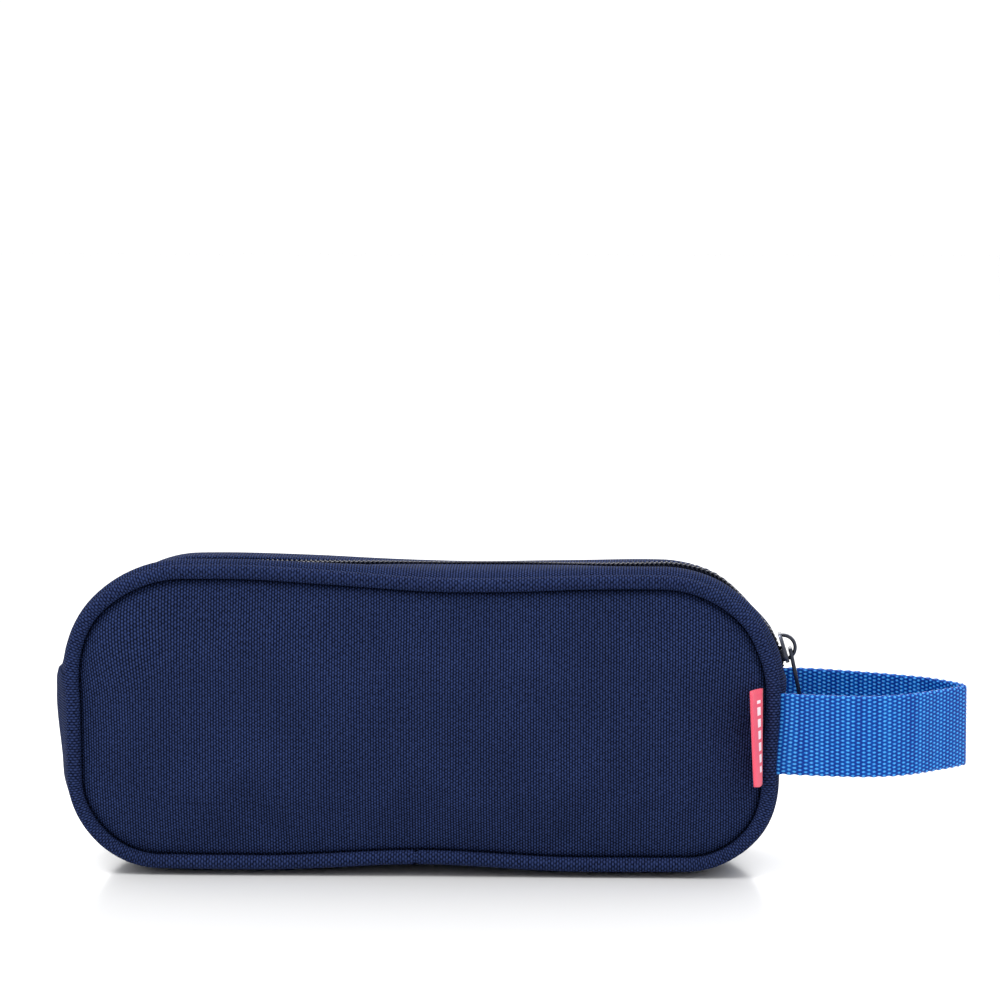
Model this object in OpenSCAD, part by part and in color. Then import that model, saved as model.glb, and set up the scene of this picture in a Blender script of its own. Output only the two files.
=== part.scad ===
// Zipped fabric pencil case with piped seams, a side wrist strap and a folded side label.
// Millimetres, +Z up, the front faces -Y, the origin is the middle of the underside.
// Section profiles are drawn as [out, forward]: out from the gusset's widest line, forward from the middle plane.

/* [Case body] */
// Width over the gusset at its widest
body_w = 222; // [180:1:260]
// Height of the closed case without the zip coil
body_h = 94; // [78:1:125]
// Depth from the front seam to the back seam
seam_depth = 54; // [40:1:70]
// Radius of both top corners
top_r = 38; // [30:1:48]
// Radius of both bottom corners
bottom_r = 30; // [24:1:36]
// How far the gusset swells outside the seam line
gusset_swell = 3.6; // [2.8:0.2:6]

/* [Panels] */
// How far the padded middle of a panel stands in front of its seam
panel_crown = 3.8; // [2:0.2:6]
// Woven outer fabric with its backing
fabric_t = 1; // [0.6:0.1:1.4]
// Foam sheet inside the panels
foam_t = 2.6; // [1.5:0.1:4]
// Lining fabric
lining_t = 0.6; // [0.4:0.1:1]
// Piping diameter over its fabric cover
piping_d = 4.4; // [3:0.2:5.4]
// Filler cord inside the piping
piping_cord_d = 2.8; // [2:0.2:3.2]
// Width of the binding tape on the inner seam edges
binding_w = 7; // [4:0.5:10]

/* [Mouth] */
// Where the zip ends and the front folds, degrees up the top corners
zip_end_at = 6; // [5:0.2:20]
// Distance of each strip's folded edge from the zip's middle
strip_edge = 9; // [7.5:0.5:12]
// Width of one half of the zip tape
tape_w = 15.5; // [13:0.5:18]
// Height of the zip coil above the tape
coil_h = 2.05; // [1.8:0.05:2.4]
// Outer edge of one coil from the zip's middle
coil_reach = 2.7; // [2.4:0.1:3]

/* [Slider] */
// Distance of the closed slider from the zip's end
slider_stop = 2.7; // [2:0.1:12]
// Length of the slider
slider_len = 9.2; // [8:0.1:11]
// Width of the slider
slider_w = 8.8; // [8:0.1:10]
// Length of the puller below its pivot
puller_len = 27; // [15:1:38]
// Width of the puller at its end
puller_w = 7; // [6:0.5:9]
// How far the puller leans in from the slider's own line, degrees
puller_lean = 5; // [0:1:8]

/* [Wrist strap] */
// Width of the webbing
webbing_w = 25; // [20:1:27]
// Thickness of the webbing
webbing_t = 1.6; // [1.2:0.1:2]
// Reach of the loop beyond its sewn ends
strap_reach = 57; // [50:1:90]
// Top edge of the webbing below the fold line
strap_drop = 3.3; // [1:0.1:8]

/* [Side label] */
// How far the folded label stands out of the seam
label_w = 10; // [8:0.5:14]
// Height of the label
label_h = 29.5; // [20:0.5:30]
// Top of the label below the fold line
label_drop = 1.4; // [1:0.1:6]
// Angle of the label from the front panel, degrees
label_angle = 66; // [40:1:75]

/* [Hidden] */

$fn = 96;
front = 0;
back = 1;
layer_gap = 0.1;        // between two cloth layers that are sewn or glued together
fold_gap = 0.4;         // between the lower and the upper half of the front at the fold line
groove = 0.4;           // from the piping to the panel's edge
big = 1000;

// Outline: two pairs of corner circles joined by straight lines
top_x = body_w / 2 - top_r;
top_z = body_h - top_r;
low_x = body_w / 2 - bottom_r;
low_z = bottom_r;
side_len = top_z - low_z;
fold_h = top_z + top_r * sin(zip_end_at);

// Seam and piping
seam_v = seam_depth / 2;
seam_u = -gusset_swell;
piping_r = piping_d / 2;
piping_v = seam_v + 1.4;
edge_u = seam_u - piping_r - groove;
panel_v = seam_v + 0.4;
panel_steps = [[0, 0], [2.6, 0.47], [7.3, 0.82], [14.8, 1]];
panel_flat = -(edge_u - 14.8);
gusset_steps = [[0, 1], [0.55, 2.6], [0.89, 5.2], [1, 8]];
foam_drop = fabric_t + layer_gap;
lining_drop = foam_drop + foam_t + layer_gap;

// Zip
coil_gap = 0.45;        // half the gap between the two coils, where the slider's post runs
tape_t = 0.6;
tape_u = -fabric_t - layer_gap - tape_t;
coil_u = tape_u + tape_t + 0.05;
coil_top = coil_u + coil_h;
slider_at = zip_end_at + (slider_len / 2 + slider_stop) / top_r * 180 / PI;
run = 0.4;              // running clearance of the slider on the chain
plate_t = 1.1;
plate_u = coil_top + run;
base_u = tape_u - run - 0.1;
base_t = 0.9;
flange_t = 1.1;
post_t = 0.5;
post_len = 2.5;
crown_w = 1.8;
crown_rise = 3.6;
crown_half = 4.3;
crown_r = (crown_half * crown_half + crown_rise * crown_rise) / (2 * crown_rise);
crown_t = 1.1;
crown_u = plate_u + plate_t + crown_rise - crown_r;
pivot_u = plate_u + plate_t + 1.25;
pivot_s = -1.3;
bar_r = 0.65;
puller_t = 1.2;
eye_half = 2.8;
eye_gap = 1.5;
eye_drop = 4.2;

// Strap
strap_h = fold_h - strap_drop - webbing_w / 2;
strap_x = body_w / 2 + seam_u + piping_r + 0.2;
strap_in = 0.9;         // length of webbing caught under the piping cover
strap_pivot_x = body_w / 2 + 0.5 + webbing_w / 2;
strap_plan = [
    [0, -1], [0.22, -1.24], [0.47, -1.4], [0.68, -1.2], [0.86, -0.72], [0.97, -0.42],
    [1, -0.28], [0.97, -0.12], [0.88, 0.13], [0.75, 0.37], [0.47, 0.7], [0.22, 0.93], [0, 1]
];

// Label
label_t = 1;
label_mid = fold_h - label_drop - label_h / 2;
label_x = min(side_x(label_mid), side_x(label_mid - label_h / 2)) + edge_u + 0.1;
label_y = -(piping_v + piping_r);

// Colours
navy = [0.12, 0.16, 0.32];
navy_dark = [0.07, 0.08, 0.15];
navy_light = [0.19, 0.23, 0.42];
foam_grey = [0.82, 0.82, 0.8];
cord_white = [0.9, 0.9, 0.87];
zip_navy = [0.09, 0.1, 0.18];
coil_navy = [0.06, 0.06, 0.1];
gunmetal = [0.3, 0.3, 0.32];
strap_blue = [0.05, 0.36, 0.8];
label_coral = [0.97, 0.34, 0.44];

function backwards(list) = [for (i = [len(list) - 1:-1:0]) list[i]];
function side_x(h) =
    h > top_z ? top_x + sqrt(top_r * top_r - pow(h - top_z, 2))
    : h < low_z ? low_x + sqrt(bottom_r * bottom_r - pow(low_z - h, 2))
    : body_w / 2;
function panel_line(drop) = [for (p = panel_steps) [edge_u - p[0], panel_v + p[1] * panel_crown - drop]];
function gusset_line(drop) = [for (p = gusset_steps) [seam_u * (1 - p[0]) - drop, seam_v - p[1]]];
function flip(list) = [for (p = list) [p[0], -p[1]]];
function spline(a, b, c, d, t) =
    0.5 * (2 * b + (c - a) * t + (2 * a - 5 * b + 4 * c - d) * t * t + (3 * b - a - 3 * c + d) * t * t * t);
function smooth(p, n) = [
    for (i = [0:len(p) - 2], k = [0:n - 1])
        spline(p[max(i - 1, 0)], p[i], p[i + 1], p[min(i + 2, len(p) - 1)], k / n),
    p[len(p) - 1]
];
function turned(v) = [-v[1], v[0]] / norm(v);
function beside(p, off) = [
    for (i = [0:len(p) - 1]) p[i] + off * turned(p[min(i + 1, len(p) - 1)] - p[max(i - 1, 0)])
];

// One corner of a sweep, in the plane of the outline
module arc(r, from, to) {
    rotate([0, 0, from])
        rotate_extrude(angle = to - from)
            translate([r, 0]) children();
}

// One straight run of a sweep, starting at the corner circle's tangent point
module straight(r, at, length) {
    rotate([0, 0, at])
        translate([r, 0, 0])
            rotate([90, 0, 0])
                linear_extrude(length) children();
}

// A section profile swept over the top of the outline, down to the sides
module swept_top() {
    for (side = [0, 1])
        mirror([side, 0, 0])
            translate([top_x, top_z, 0]) {
                arc(top_r, 0, 90) children();
                straight(top_r, 0, side_len) children();
            }
    translate([-top_x, top_z, 0]) straight(top_r, 90, 2 * top_x) children();
}

// The same, round the bottom
module swept_bottom() {
    for (side = [0, 1])
        mirror([side, 0, 0])
            translate([low_x, low_z, 0]) arc(bottom_r, -90, 0) children();
    translate([low_x, low_z, 0]) straight(bottom_r, -90, 2 * low_x) children();
}

module standing() {
    rotate([90, 0, 0]) children();
}

module above() {
    intersection() {
        children();
        translate([-big / 2, -big / 2, fold_h + fold_gap / 2]) cube(big);
    }
}

module below() {
    intersection() {
        children();
        translate([-big / 2, -big / 2, fold_h - fold_gap / 2 - big]) cube(big);
    }
}

module swept_ring() {
    standing() {
        swept_top() children();
        swept_bottom() children();
    }
}

// The filled outline, moved inwards
module outline(inset) {
    for (side = [0, 1])
        mirror([side, 0]) {
            translate([top_x, top_z]) circle(top_r - inset);
            translate([low_x, low_z]) circle(bottom_r - inset);
        }
    right = [
        [top_x, body_h - inset],
        [body_w / 2 - inset, top_z],
        [body_w / 2 - inset, low_z],
        [low_x, inset]
    ];
    polygon(concat(right, backwards([for (p = right) [-p[0], p[1]]])));
}

// A crowned sheet: a flat middle and a rim that slopes back to the seam
module crowned(drop, t, skip) {
    line = panel_line(drop);
    under = panel_line(drop + t);
    rim = [for (i = [skip:len(line) - 1]) line[i]];
    rim_under = [for (i = [skip:len(line) - 1]) under[i]];
    swept_ring() polygon(concat(rim, backwards(rim_under)));
    top_v = panel_v + panel_crown - drop;
    standing()
        translate([0, 0, top_v - t])
            linear_extrude(t) outline(panel_flat);
}

module piping_cover() {
    swept_ring()
        difference() {
            translate([seam_u, piping_v]) circle(piping_r);
            translate([seam_u, piping_v]) circle(piping_cord_d / 2 + layer_gap);
        }
}

module piping_cord() {
    swept_ring() translate([seam_u, piping_v]) circle(piping_cord_d / 2);
}

// Folded tape that covers the raw seam edges inside
module binding() {
    u = edge_u - 1.2;
    v = seam_v - 2.6 - 1.8;
    swept_ring()
        translate([u - binding_w, v]) {
            square([binding_w, 1.8]);
            translate([0, 0.9]) circle(0.9);
        }
}

module to_back() {
    mirror([0, 1, 0]) children();
}

module gusset_band(drop, t) {
    outer = gusset_line(drop);
    inner = gusset_line(drop + t);
    half = concat(outer, flip(backwards(outer)));
    half_in = concat(inner, flip(backwards(inner)));
    swept_ring() polygon(concat(half, backwards(half_in)));
}

module zip_strip() {
    outer = gusset_line(0);
    inner = gusset_line(fabric_t);
    swept_ring() polygon(concat(outer, [[0, strip_edge]], [[-fabric_t, strip_edge]], backwards(inner)));
}

module zip_tape() {
    swept_ring() translate([tape_u, coil_gap]) square([tape_t, tape_w - coil_gap]);
}

module zip_coil() {
    w = coil_reach - coil_gap;
    r = 0.8;
    swept_ring()
        translate([coil_u, coil_gap]) {
            square([coil_h - r, w]);
            square([coil_h, w - r]);
            translate([coil_h - r, w - r]) circle(r);
        }
}

module back_panel() {
    color(navy) to_back() crowned(0, fabric_t, 0);
}

module back_foam() {
    color(foam_grey) to_back() crowned(foam_drop, foam_t, 1);
}

module back_lining() {
    color(navy_light) to_back() crowned(lining_drop, lining_t, 1);
}

module back_piping() {
    color(navy) to_back() piping_cover();
}

module back_piping_cord() {
    color(cord_white) to_back() piping_cord();
}

module back_binding() {
    color(navy_dark) to_back() binding();
}

module front_panel_lower() {
    color(navy) below() crowned(0, fabric_t, 0);
}

module front_foam_lower() {
    color(foam_grey) below() crowned(foam_drop, foam_t, 1);
}

module front_lining_lower() {
    color(navy_light) below() crowned(lining_drop, lining_t, 1);
}

module front_piping_lower() {
    color(navy) below() piping_cover();
}

module front_piping_cord_lower() {
    color(cord_white) below() piping_cord();
}

module front_binding_lower() {
    color(navy_dark) below() binding();
}

module lower_gusset() {
    color(navy_dark) below() gusset_band(0, fabric_t);
}

module gusset_lining() {
    color(navy_light) below() gusset_band(fabric_t + layer_gap, lining_t);
}

module back_zip_strip() {
    color(navy) above() to_back() zip_strip();
}

module back_zip_tape() {
    color(zip_navy) above() to_back() zip_tape();
}

module back_zip_coil() {
    color(coil_navy) above() to_back() zip_coil();
}

// Row of stitches across the gusset where the zip ends
module end_stitch() {
    pitch = 3.2;
    count = floor((seam_v - 9) / pitch);
    h = fold_h - 2.6;
    for (k = [-count:count])
        translate([side_x(h) + 0.32, k * pitch - 1.1, h])
            rotate([-90, 0, 0]) cylinder(r = 0.25, h = 2.2, $fn = 16);
}

module end_stitch_left() {
    color(navy_light) mirror([1, 0, 0]) end_stitch();
}

module end_stitch_right() {
    color(navy_light) end_stitch();
}

// The loop's band seen from above, as one outline
module strap_plan_shape() {
    path = smooth([for (p = strap_plan) [strap_x + p[0] * strap_reach, p[1] * seam_v]], 6);
    whole = concat([path[0] - [strap_in, 0]], path, [path[len(path) - 1] - [strap_in, 0]]);
    polygon(concat(beside(whole, webbing_t / 2), backwards(beside(whole, -webbing_t / 2))));
}

module strap_band() {
    translate([0, 0, strap_h - webbing_w / 2])
        linear_extrude(webbing_w) strap_plan_shape();
}

module strap_root(r) {
    translate([strap_pivot_x, 0, strap_h])
        rotate([90, 0, 0]) cylinder(r = r, h = big, center = true);
}

// The part of the webbing that is sewn down: outside the circle that the loop turns in
module strap_end(side) {
    difference() {
        intersection() {
            strap_band();
            translate([0, side == front ? -big : 0, 0]) cube([strap_pivot_x, big, big]);
        }
        strap_root(webbing_w / 2 + 0.4);
    }
}

module strap_end_front() {
    color(strap_blue) strap_end(front);
}

module strap_end_back() {
    color(strap_blue) strap_end(back);
}

module front_panel_upper() {
    color(navy) above() crowned(0, fabric_t, 0);
}

module front_foam_upper() {
    color(foam_grey) above() crowned(foam_drop, foam_t, 1);
}

module front_lining_upper() {
    color(navy_light) above() crowned(lining_drop, lining_t, 1);
}

module front_piping_upper() {
    color(navy) above() piping_cover();
}

module front_piping_cord_upper() {
    color(cord_white) above() piping_cord();
}

module front_binding_upper() {
    color(navy_dark) above() binding();
}

module front_zip_strip() {
    color(navy) above() zip_strip();
}

module front_zip_tape() {
    color(zip_navy) above() zip_tape();
}

module front_zip_coil() {
    color(coil_navy) above() zip_coil();
}

// Slider frame: first axis out of the case, second up along the chain, third forward
module on_chain() {
    standing()
        translate([top_x, top_z, 0])
            rotate([0, 0, slider_at])
                translate([top_r, 0, 0]) children();
}

module facing_out() {
    rotate([90, 0, 90]) children();
}

module slider_plan() {
    half = slider_w / 2;
    nose = slider_w / 2 - 1.2;
    s = slider_len / 2;
    polygon([
        [-s, -half + 0.8], [-s + 0.8, -half], [0, -half], [s - 0.8, -nose], [s, -nose + 0.8],
        [s, nose - 0.8], [s - 0.8, nose], [0, half], [-s + 0.8, half], [-s, half - 0.8]
    ]);
}

module slider_body() {
    color(gunmetal)
        on_chain() {
            translate([plate_u, 0, 0]) facing_out() linear_extrude(plate_t) slider_plan();
            translate([base_u - base_t, 0, 0]) facing_out() linear_extrude(base_t) slider_plan();
            for (side = [-1, 1])
                translate([-0.7, -slider_len / 2 + 0.8, side * (slider_w / 2 - flange_t / 2) - flange_t / 2])
                    cube([plate_u + 0.7, slider_len / 2 - 0.8, flange_t]);
            translate([base_u, -slider_len / 2 + 0.6, -post_t / 2])
                cube([plate_u - base_u, post_len, post_t]);
        }
}

module slider_crown() {
    color(gunmetal)
        on_chain()
            translate([0, 0, -crown_w / 2])
                linear_extrude(crown_w)
                    intersection() {
                        difference() {
                            translate([crown_u, 0]) circle(crown_r);
                            translate([crown_u, 0]) circle(crown_r - crown_t);
                        }
                        translate([plate_u + plate_t, -big / 2]) square(big);
                    }
}

module puller_plan() {
    r = puller_w / 2;
    difference() {
        union() {
            translate([-puller_len + r, 0]) circle(r);
            polygon([
                [-puller_len + r, -r], [-eye_drop - 3, -eye_half], [0, -eye_half],
                [0, eye_half], [-eye_drop - 3, eye_half], [-puller_len + r, r]
            ]);
        }
        translate([-eye_drop, -eye_gap]) square([big, 2 * eye_gap]);
    }
}

module zip_puller() {
    color(gunmetal)
        on_chain()
            translate([pivot_u, pivot_s, 0])
                rotate([0, 0, -puller_lean]) {
                    translate([-puller_t / 2, 0, 0]) facing_out() linear_extrude(puller_t) puller_plan();
                    cylinder(r = bar_r, h = 2 * eye_half, center = true);
                }
}

module wrist_strap() {
    color(strap_blue)
        intersection() {
            strap_band();
            union() {
                translate([strap_pivot_x, -big / 2, 0]) cube(big);
                strap_root(webbing_w / 2);
            }
        }
}

// A folded tab: the fold is its free edge, the top slants and the lower corner is cut off
module side_label() {
    low = -label_h / 2;
    high = label_h / 2;
    color(label_coral)
        translate([label_x, label_y, label_mid])
            rotate([0, 0, 180 + label_angle]) {
                translate([0, label_t / 2, 0])
                    rotate([90, 0, 0])
                        linear_extrude(label_t)
                            polygon([
                                [0, low + 1], [label_w - 3, low], [label_w - 1, low + 0.7],
                                [label_w, low + 2.6], [label_w, high - 0.8], [0, high]
                            ]);
                translate([0, 0, low + 1]) cylinder(r = label_t / 2, h = label_h - 1);
            }
}

back_panel();
back_foam();
back_lining();
back_piping();
back_piping_cord();
back_binding();
front_panel_lower();
front_foam_lower();
front_lining_lower();
front_piping_lower();
front_piping_cord_lower();
front_binding_lower();
lower_gusset();
gusset_lining();
back_zip_strip();
back_zip_tape();
back_zip_coil();
end_stitch_left();
end_stitch_right();
strap_end_front();
strap_end_back();
front_panel_upper();
front_foam_upper();
front_lining_upper();
front_piping_upper();
front_piping_cord_upper();
front_binding_upper();
front_zip_strip();
front_zip_tape();
front_zip_coil();
slider_body();
slider_crown();
zip_puller();
wrist_strap();
side_label();
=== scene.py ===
import bpy
import bmesh
import math
import numpy as np
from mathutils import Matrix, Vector, noise


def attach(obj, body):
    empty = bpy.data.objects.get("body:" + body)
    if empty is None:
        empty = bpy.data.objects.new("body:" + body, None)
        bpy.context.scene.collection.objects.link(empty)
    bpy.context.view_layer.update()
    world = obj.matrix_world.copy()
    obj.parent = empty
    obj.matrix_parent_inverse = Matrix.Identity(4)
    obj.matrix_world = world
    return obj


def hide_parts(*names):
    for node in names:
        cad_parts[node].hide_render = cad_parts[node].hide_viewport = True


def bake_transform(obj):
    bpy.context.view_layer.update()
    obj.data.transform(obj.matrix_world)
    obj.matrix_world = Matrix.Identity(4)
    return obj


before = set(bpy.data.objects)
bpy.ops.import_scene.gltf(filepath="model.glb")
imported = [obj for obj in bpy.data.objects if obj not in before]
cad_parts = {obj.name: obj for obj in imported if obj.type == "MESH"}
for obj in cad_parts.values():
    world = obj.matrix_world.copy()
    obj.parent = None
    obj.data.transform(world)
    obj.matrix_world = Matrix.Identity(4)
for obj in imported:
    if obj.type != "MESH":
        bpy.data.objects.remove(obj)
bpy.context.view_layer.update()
print("frame loaded")

# view and light
view = {"lens": 177, "distance": 1.53, "aim": (0.0228, 0.0, 0.1134), "azimuth": 2.2, "elevation": 6.5}


def makeCamera():
    turn, rise = math.radians(view["azimuth"]), math.radians(view["elevation"])
    back = Vector((math.sin(turn) * math.cos(rise), -math.cos(turn) * math.cos(rise), math.sin(rise)))
    data = bpy.data.cameras.new("camera")
    data.lens, data.sensor_width = view["lens"], 36
    data.clip_start, data.clip_end = 0.05, 20
    camera = bpy.data.objects.new("camera", data)
    bpy.context.scene.collection.objects.link(camera)
    camera.location = Vector(view["aim"]) + back * view["distance"]
    camera.rotation_euler = (-back).to_track_quat("-Z", "Y").to_euler()
    bpy.context.scene.camera = camera


makeCamera()


def hexLinear(code):
    parts = [int(code[i:i + 2], 16) / 255 for i in (1, 3, 5)]
    return tuple(c / 12.92 if c <= 0.04045 else ((c + 0.055) / 1.055) ** 2.4 for c in parts) + (1.0,)


def startMaterial(name, **finish):
    mat = bpy.data.materials.new(name)
    mat.use_nodes = True
    shader = mat.node_tree.nodes["Principled BSDF"]
    for key, value in finish.items():
        shader.inputs[key.replace("_", " ")].default_value = value
    return mat, shader


def addNode(mat, kind, values=None, links=None, **settings):
    node = mat.node_tree.nodes.new(kind)
    for key, value in settings.items():
        setattr(node, key, value)
    for key, value in (values or {}).items():
        node.inputs[key].default_value = value
    for key, source in (links or {}).items():
        mat.node_tree.links.new(source, node.inputs[key])
    return node


# glossy white acrylic sheet: a clear, faint mirror image close to whatever stands on it
floorLook = {"colour": "#EFEFEF", "rough": (0.14, 0.19), "specular": 0.32, "side": 3.0, "height": -0.0002}


def makeFloor():
    mat, shader = startMaterial("whiteAcrylicSheet", Base_Color=hexLinear(floorLook["colour"]),
                                Specular_IOR_Level=floorLook["specular"])
    spot = addNode(mat, "ShaderNodeTexCoord").outputs["Object"]
    haze = addNode(mat, "ShaderNodeTexNoise", {"Scale": 6.0, "Detail": 2.0}, {"Vector": spot})
    tone = addNode(mat, "ShaderNodeMapRange", {3: floorLook["rough"][0], 4: floorLook["rough"][1]},
                   {0: haze.outputs["Fac"]})
    mat.node_tree.links.new(tone.outputs[0], shader.inputs["Roughness"])
    side, low = floorLook["side"], floorLook["height"]
    corners = [(-side, -side, low), (side, -side, low), (side, side, low), (-side, side, low)]
    mesh = bpy.data.meshes.new("floor")
    mesh.from_pydata(corners, [], [(0, 1, 2, 3)])
    mesh.materials.append(mat)
    floor = bpy.data.objects.new("floor", mesh)
    bpy.context.scene.collection.objects.link(floor)


studio = {"sky": 1.05, "aim": (0.0, 0.0, 0.04), "lamps": [
    # name, where, watts, size
    ("overhead", (0.1, 0.0, 1.3), 9, 1.6),
    ("keyLeft", (-0.65, -0.65, 1.45), 10, 0.6),
    ("fillRight", (1.2, -0.8, 1.0), 3.5, 0.8),
    ("behind", (0.2, 1.2, 0.8), 7, 1.2),
]}


def makeLights():
    for name, where, watts, size in studio["lamps"]:
        data = bpy.data.lights.new(name, "AREA")
        data.energy, data.shape, data.size = watts, "SQUARE", size
        lamp = bpy.data.objects.new(name, data)
        bpy.context.scene.collection.objects.link(lamp)
        lamp.location = where
        lamp.rotation_euler = (Vector(studio["aim"]) - Vector(where)).to_track_quat("-Z", "Y").to_euler()
    world = bpy.data.worlds.new("studio")
    world.use_nodes = True
    sky = world.node_tree.nodes["Background"]
    sky.inputs["Color"].default_value = (1, 1, 1, 1)
    sky.inputs["Strength"].default_value = studio["sky"]
    bpy.context.scene.world = world
    bpy.context.scene.view_settings.view_transform = "Standard"


makeFloor()
makeLights()
print("camera, floor and lights made")

# the outline, walked from the middle of the bottom towards the strap end and round; fold is how many degrees up
# the top corner the zip ends
outline = {"topX": 0.073, "topZ": 0.056, "topR": 0.038, "lowX": 0.081, "lowZ": 0.030, "lowR": 0.030,
           "fold": 6.0}
lowBend, topBend = outline["lowR"] * math.pi / 2, outline["topR"] * math.pi / 2
upright = outline["topZ"] - outline["lowZ"]
walk = [outline["lowX"], lowBend, upright, topBend, 2 * outline["topX"], topBend, upright, lowBend,
        outline["lowX"]]
startAt = [sum(walk[:k]) for k in range(len(walk))]
ringLength = sum(walk)
foldRight = startAt[3] + outline["topR"] * math.radians(outline["fold"])
foldLeft = ringLength - foldRight


def station(s):
    s = s % ringLength
    tx, tz, tr = outline["topX"], outline["topZ"], outline["topR"]
    lx, lz, lr = outline["lowX"], outline["lowZ"], outline["lowR"]
    for i, run in enumerate(walk):
        if s <= run:
            break
        s -= run
    if i == 0:
        return s, 0.0, 0.0, -1.0
    if i == 8:
        return -lx + s, 0.0, 0.0, -1.0
    if i == 2:
        return lx + lr, lz + s, 1.0, 0.0
    if i == 6:
        return -lx - lr, tz - s, -1.0, 0.0
    if i == 4:
        return tx - s, tz + tr, 0.0, 1.0
    bends = {1: (lx, lz, lr, -90), 3: (tx, tz, tr, 0), 5: (-tx, tz, tr, 90), 7: (-lx, lz, lr, 180)}
    x, z, radius, first = bends[i]
    angle = math.radians(first) + s / radius
    return x + radius * math.cos(angle), z + radius * math.sin(angle), math.cos(angle), math.sin(angle)


def place(s, u, v):
    # u outward from the gusset's widest line and v forward, both in millimetres
    x, z, nx, nz = station(s)
    return x + nx * u * 0.001, -v * 0.001, z + nz * u * 0.001


def ramp(a, b, x):
    t = min(1.0, max(0.0, (x - a) / (b - a)))
    return t * t * (3 - 2 * t)


# how the filled case settles: how far, in mm, its seams and its middle move outwards at each mark
settling = [
    # the mark's station, then front seam, middle and back seam
    (0.0, -2.2, 0.0, -0.6),  # middle of the bottom
    (0.048, -0.2, 0.0, -0.4),
    (startAt[1] + walk[1] * 0.55, -0.5, -0.2, -0.8),  # low right corner
    (startAt[2], -1.0, -1.6, -1.2),
    (startAt[3] - 0.002, 0.2, 0.0, 0.0),
    (startAt[3] + walk[3] * 0.22, 0.6, 0.0, 0.0),  # where the slider rests
    (startAt[3] + walk[3] * 0.46, 1.4, -1.7, -2.0),  # top right corner
    (startAt[3] + walk[3] * 0.73, 1.3, -0.5, -1.9),
    (startAt[4] + 0.008, 1.2, -1.0, -1.6),
    (startAt[4] + walk[4] / 2 - 0.014, 0.0, -0.7, -2.4),  # middle of the top
    (startAt[5] - 0.012, 3.6, -0.9, 0.2),
    (startAt[5] + walk[5] / 2, 3.8, -1.4, -0.6),  # top left corner
    (startAt[6] + 0.004, 0.3, 4.2, 2.4),
    (startAt[7], 0.0, 2.6, 1.4),
    (startAt[7] + walk[7] * 0.45, -0.5, -0.2, -0.6),  # low left corner
    (ringLength - 0.05, -0.2, 0.0, -0.4),
    (ringLength, -2.2, 0.0, -0.6),
]
# the settling changes from the middle's to the seam's over the band, and fades out over the depth inside the
# outline, both in metres
softCase = {"band": (0.006, 0.024), "depth": (0.029, 0.008), "wave": 0.0003}
# the zip leans backwards by back mm over the right of the top and turns the other way by its left end
zipLean = {"back": 1.0, "turned": 2.3, "turns": (0.07, 0.14), "width": 0.008, "fade": 0.03}


def nearest(x, z):
    # the outline's station level with a point, and how far inside the outline the point is
    tx, tz, tr = outline["topX"], outline["topZ"], outline["topR"]
    lx, lz, lr = outline["lowX"], outline["lowZ"], outline["lowR"]
    ax = abs(x)
    if z >= tz and ax >= tx:
        s, inside = startAt[3] + tr * math.atan2(z - tz, ax - tx), tr - math.hypot(z - tz, ax - tx)
    elif z <= lz and ax >= lx:
        s = startAt[1] + lr * (math.pi / 2 - math.atan2(lz - z, ax - lx))
        inside = lr - math.hypot(lz - z, ax - lx)
    else:
        # the nearest of the end wall, the bottom and the top
        wall = (lx + lr - ax, startAt[2] + min(max(z - lz, 0), walk[2]))
        inside, s = min(wall, (z, ax), (tz + tr - z, startAt[4] + tx - ax))
    return (s if x >= 0 else ringLength - s), inside


def leanAt(s, forward):
    past = s - startAt[4]
    fades = ramp(0.0, zipLean["fade"], past) * ramp(zipLean["fade"], 0.0, past - walk[4])
    turned = zipLean["back"] - zipLean["turned"] * ramp(*zipLean["turns"], past)
    return turned * math.tanh(forward / zipLean["width"]) * fades


def shiftAt(s, forward):
    s = s % ringLength
    k = max(i for i in range(len(settling) - 1) if settling[i][0] <= s)
    t = ramp(settling[k][0], settling[k + 1][0], s)
    front, middle, back = [a * (1 - t) + b * t for a, b in zip(settling[k][1:], settling[k + 1][1:])]
    away = ramp(*softCase["band"], abs(forward))
    seam = front if forward > 0 else back
    return ((leanAt(s, forward) + middle) * (1 - away) + seam * away) * 0.001


def settle(point):
    x, y, z = point
    s, inside = nearest(x, z)
    push = shiftAt(s, -y) * ramp(*softCase["depth"], inside)
    nx, nz = station(s)[2:]
    wave = softCase["wave"] * noise.noise(Vector((x * 38, y * 30, z * 38 + 7)))
    return x + nx * push, y + wave, max(z + nz * push + wave * ramp(0.004, 0.02, z), 0.0)


def makeObject(name, points, faces, uvs, mat, smooth=True):
    mesh = bpy.data.meshes.new(name)
    mesh.from_pydata([tuple(p) for p in points], [], faces)
    if uvs is not None:
        layer = mesh.uv_layers.new(name="threads")
        layer.data.foreach_set("uv", [c for pair in uvs for c in pair])
    mesh.polygons.foreach_set("use_smooth", [smooth] * len(mesh.polygons))
    mesh.materials.append(mat)
    piece = bpy.data.objects.new(name, mesh)
    bpy.context.scene.collection.objects.link(piece)
    mesh.update()
    return piece


def applyModifiers(piece):
    bpy.ops.object.select_all(action="DESELECT")
    bpy.context.view_layer.objects.active = piece
    piece.select_set(True)
    for modifier in list(piece.modifiers):
        bpy.ops.object.modifier_apply(modifier=modifier.name)
    piece.select_set(False)


def inner(profile, thick):
    # the same section line moved inwards by a thickness and walked backwards, to close the section
    moved = []
    for i, (u, v) in enumerate(profile):
        a, b = profile[max(i - 1, 0)], profile[min(i + 1, len(profile) - 1)]
        du, dv = b[0] - a[0], b[1] - a[1]
        size = math.hypot(du, dv)
        moved.append((u + dv / size * thick, v - du / size * thick))
    return moved[::-1]


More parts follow.
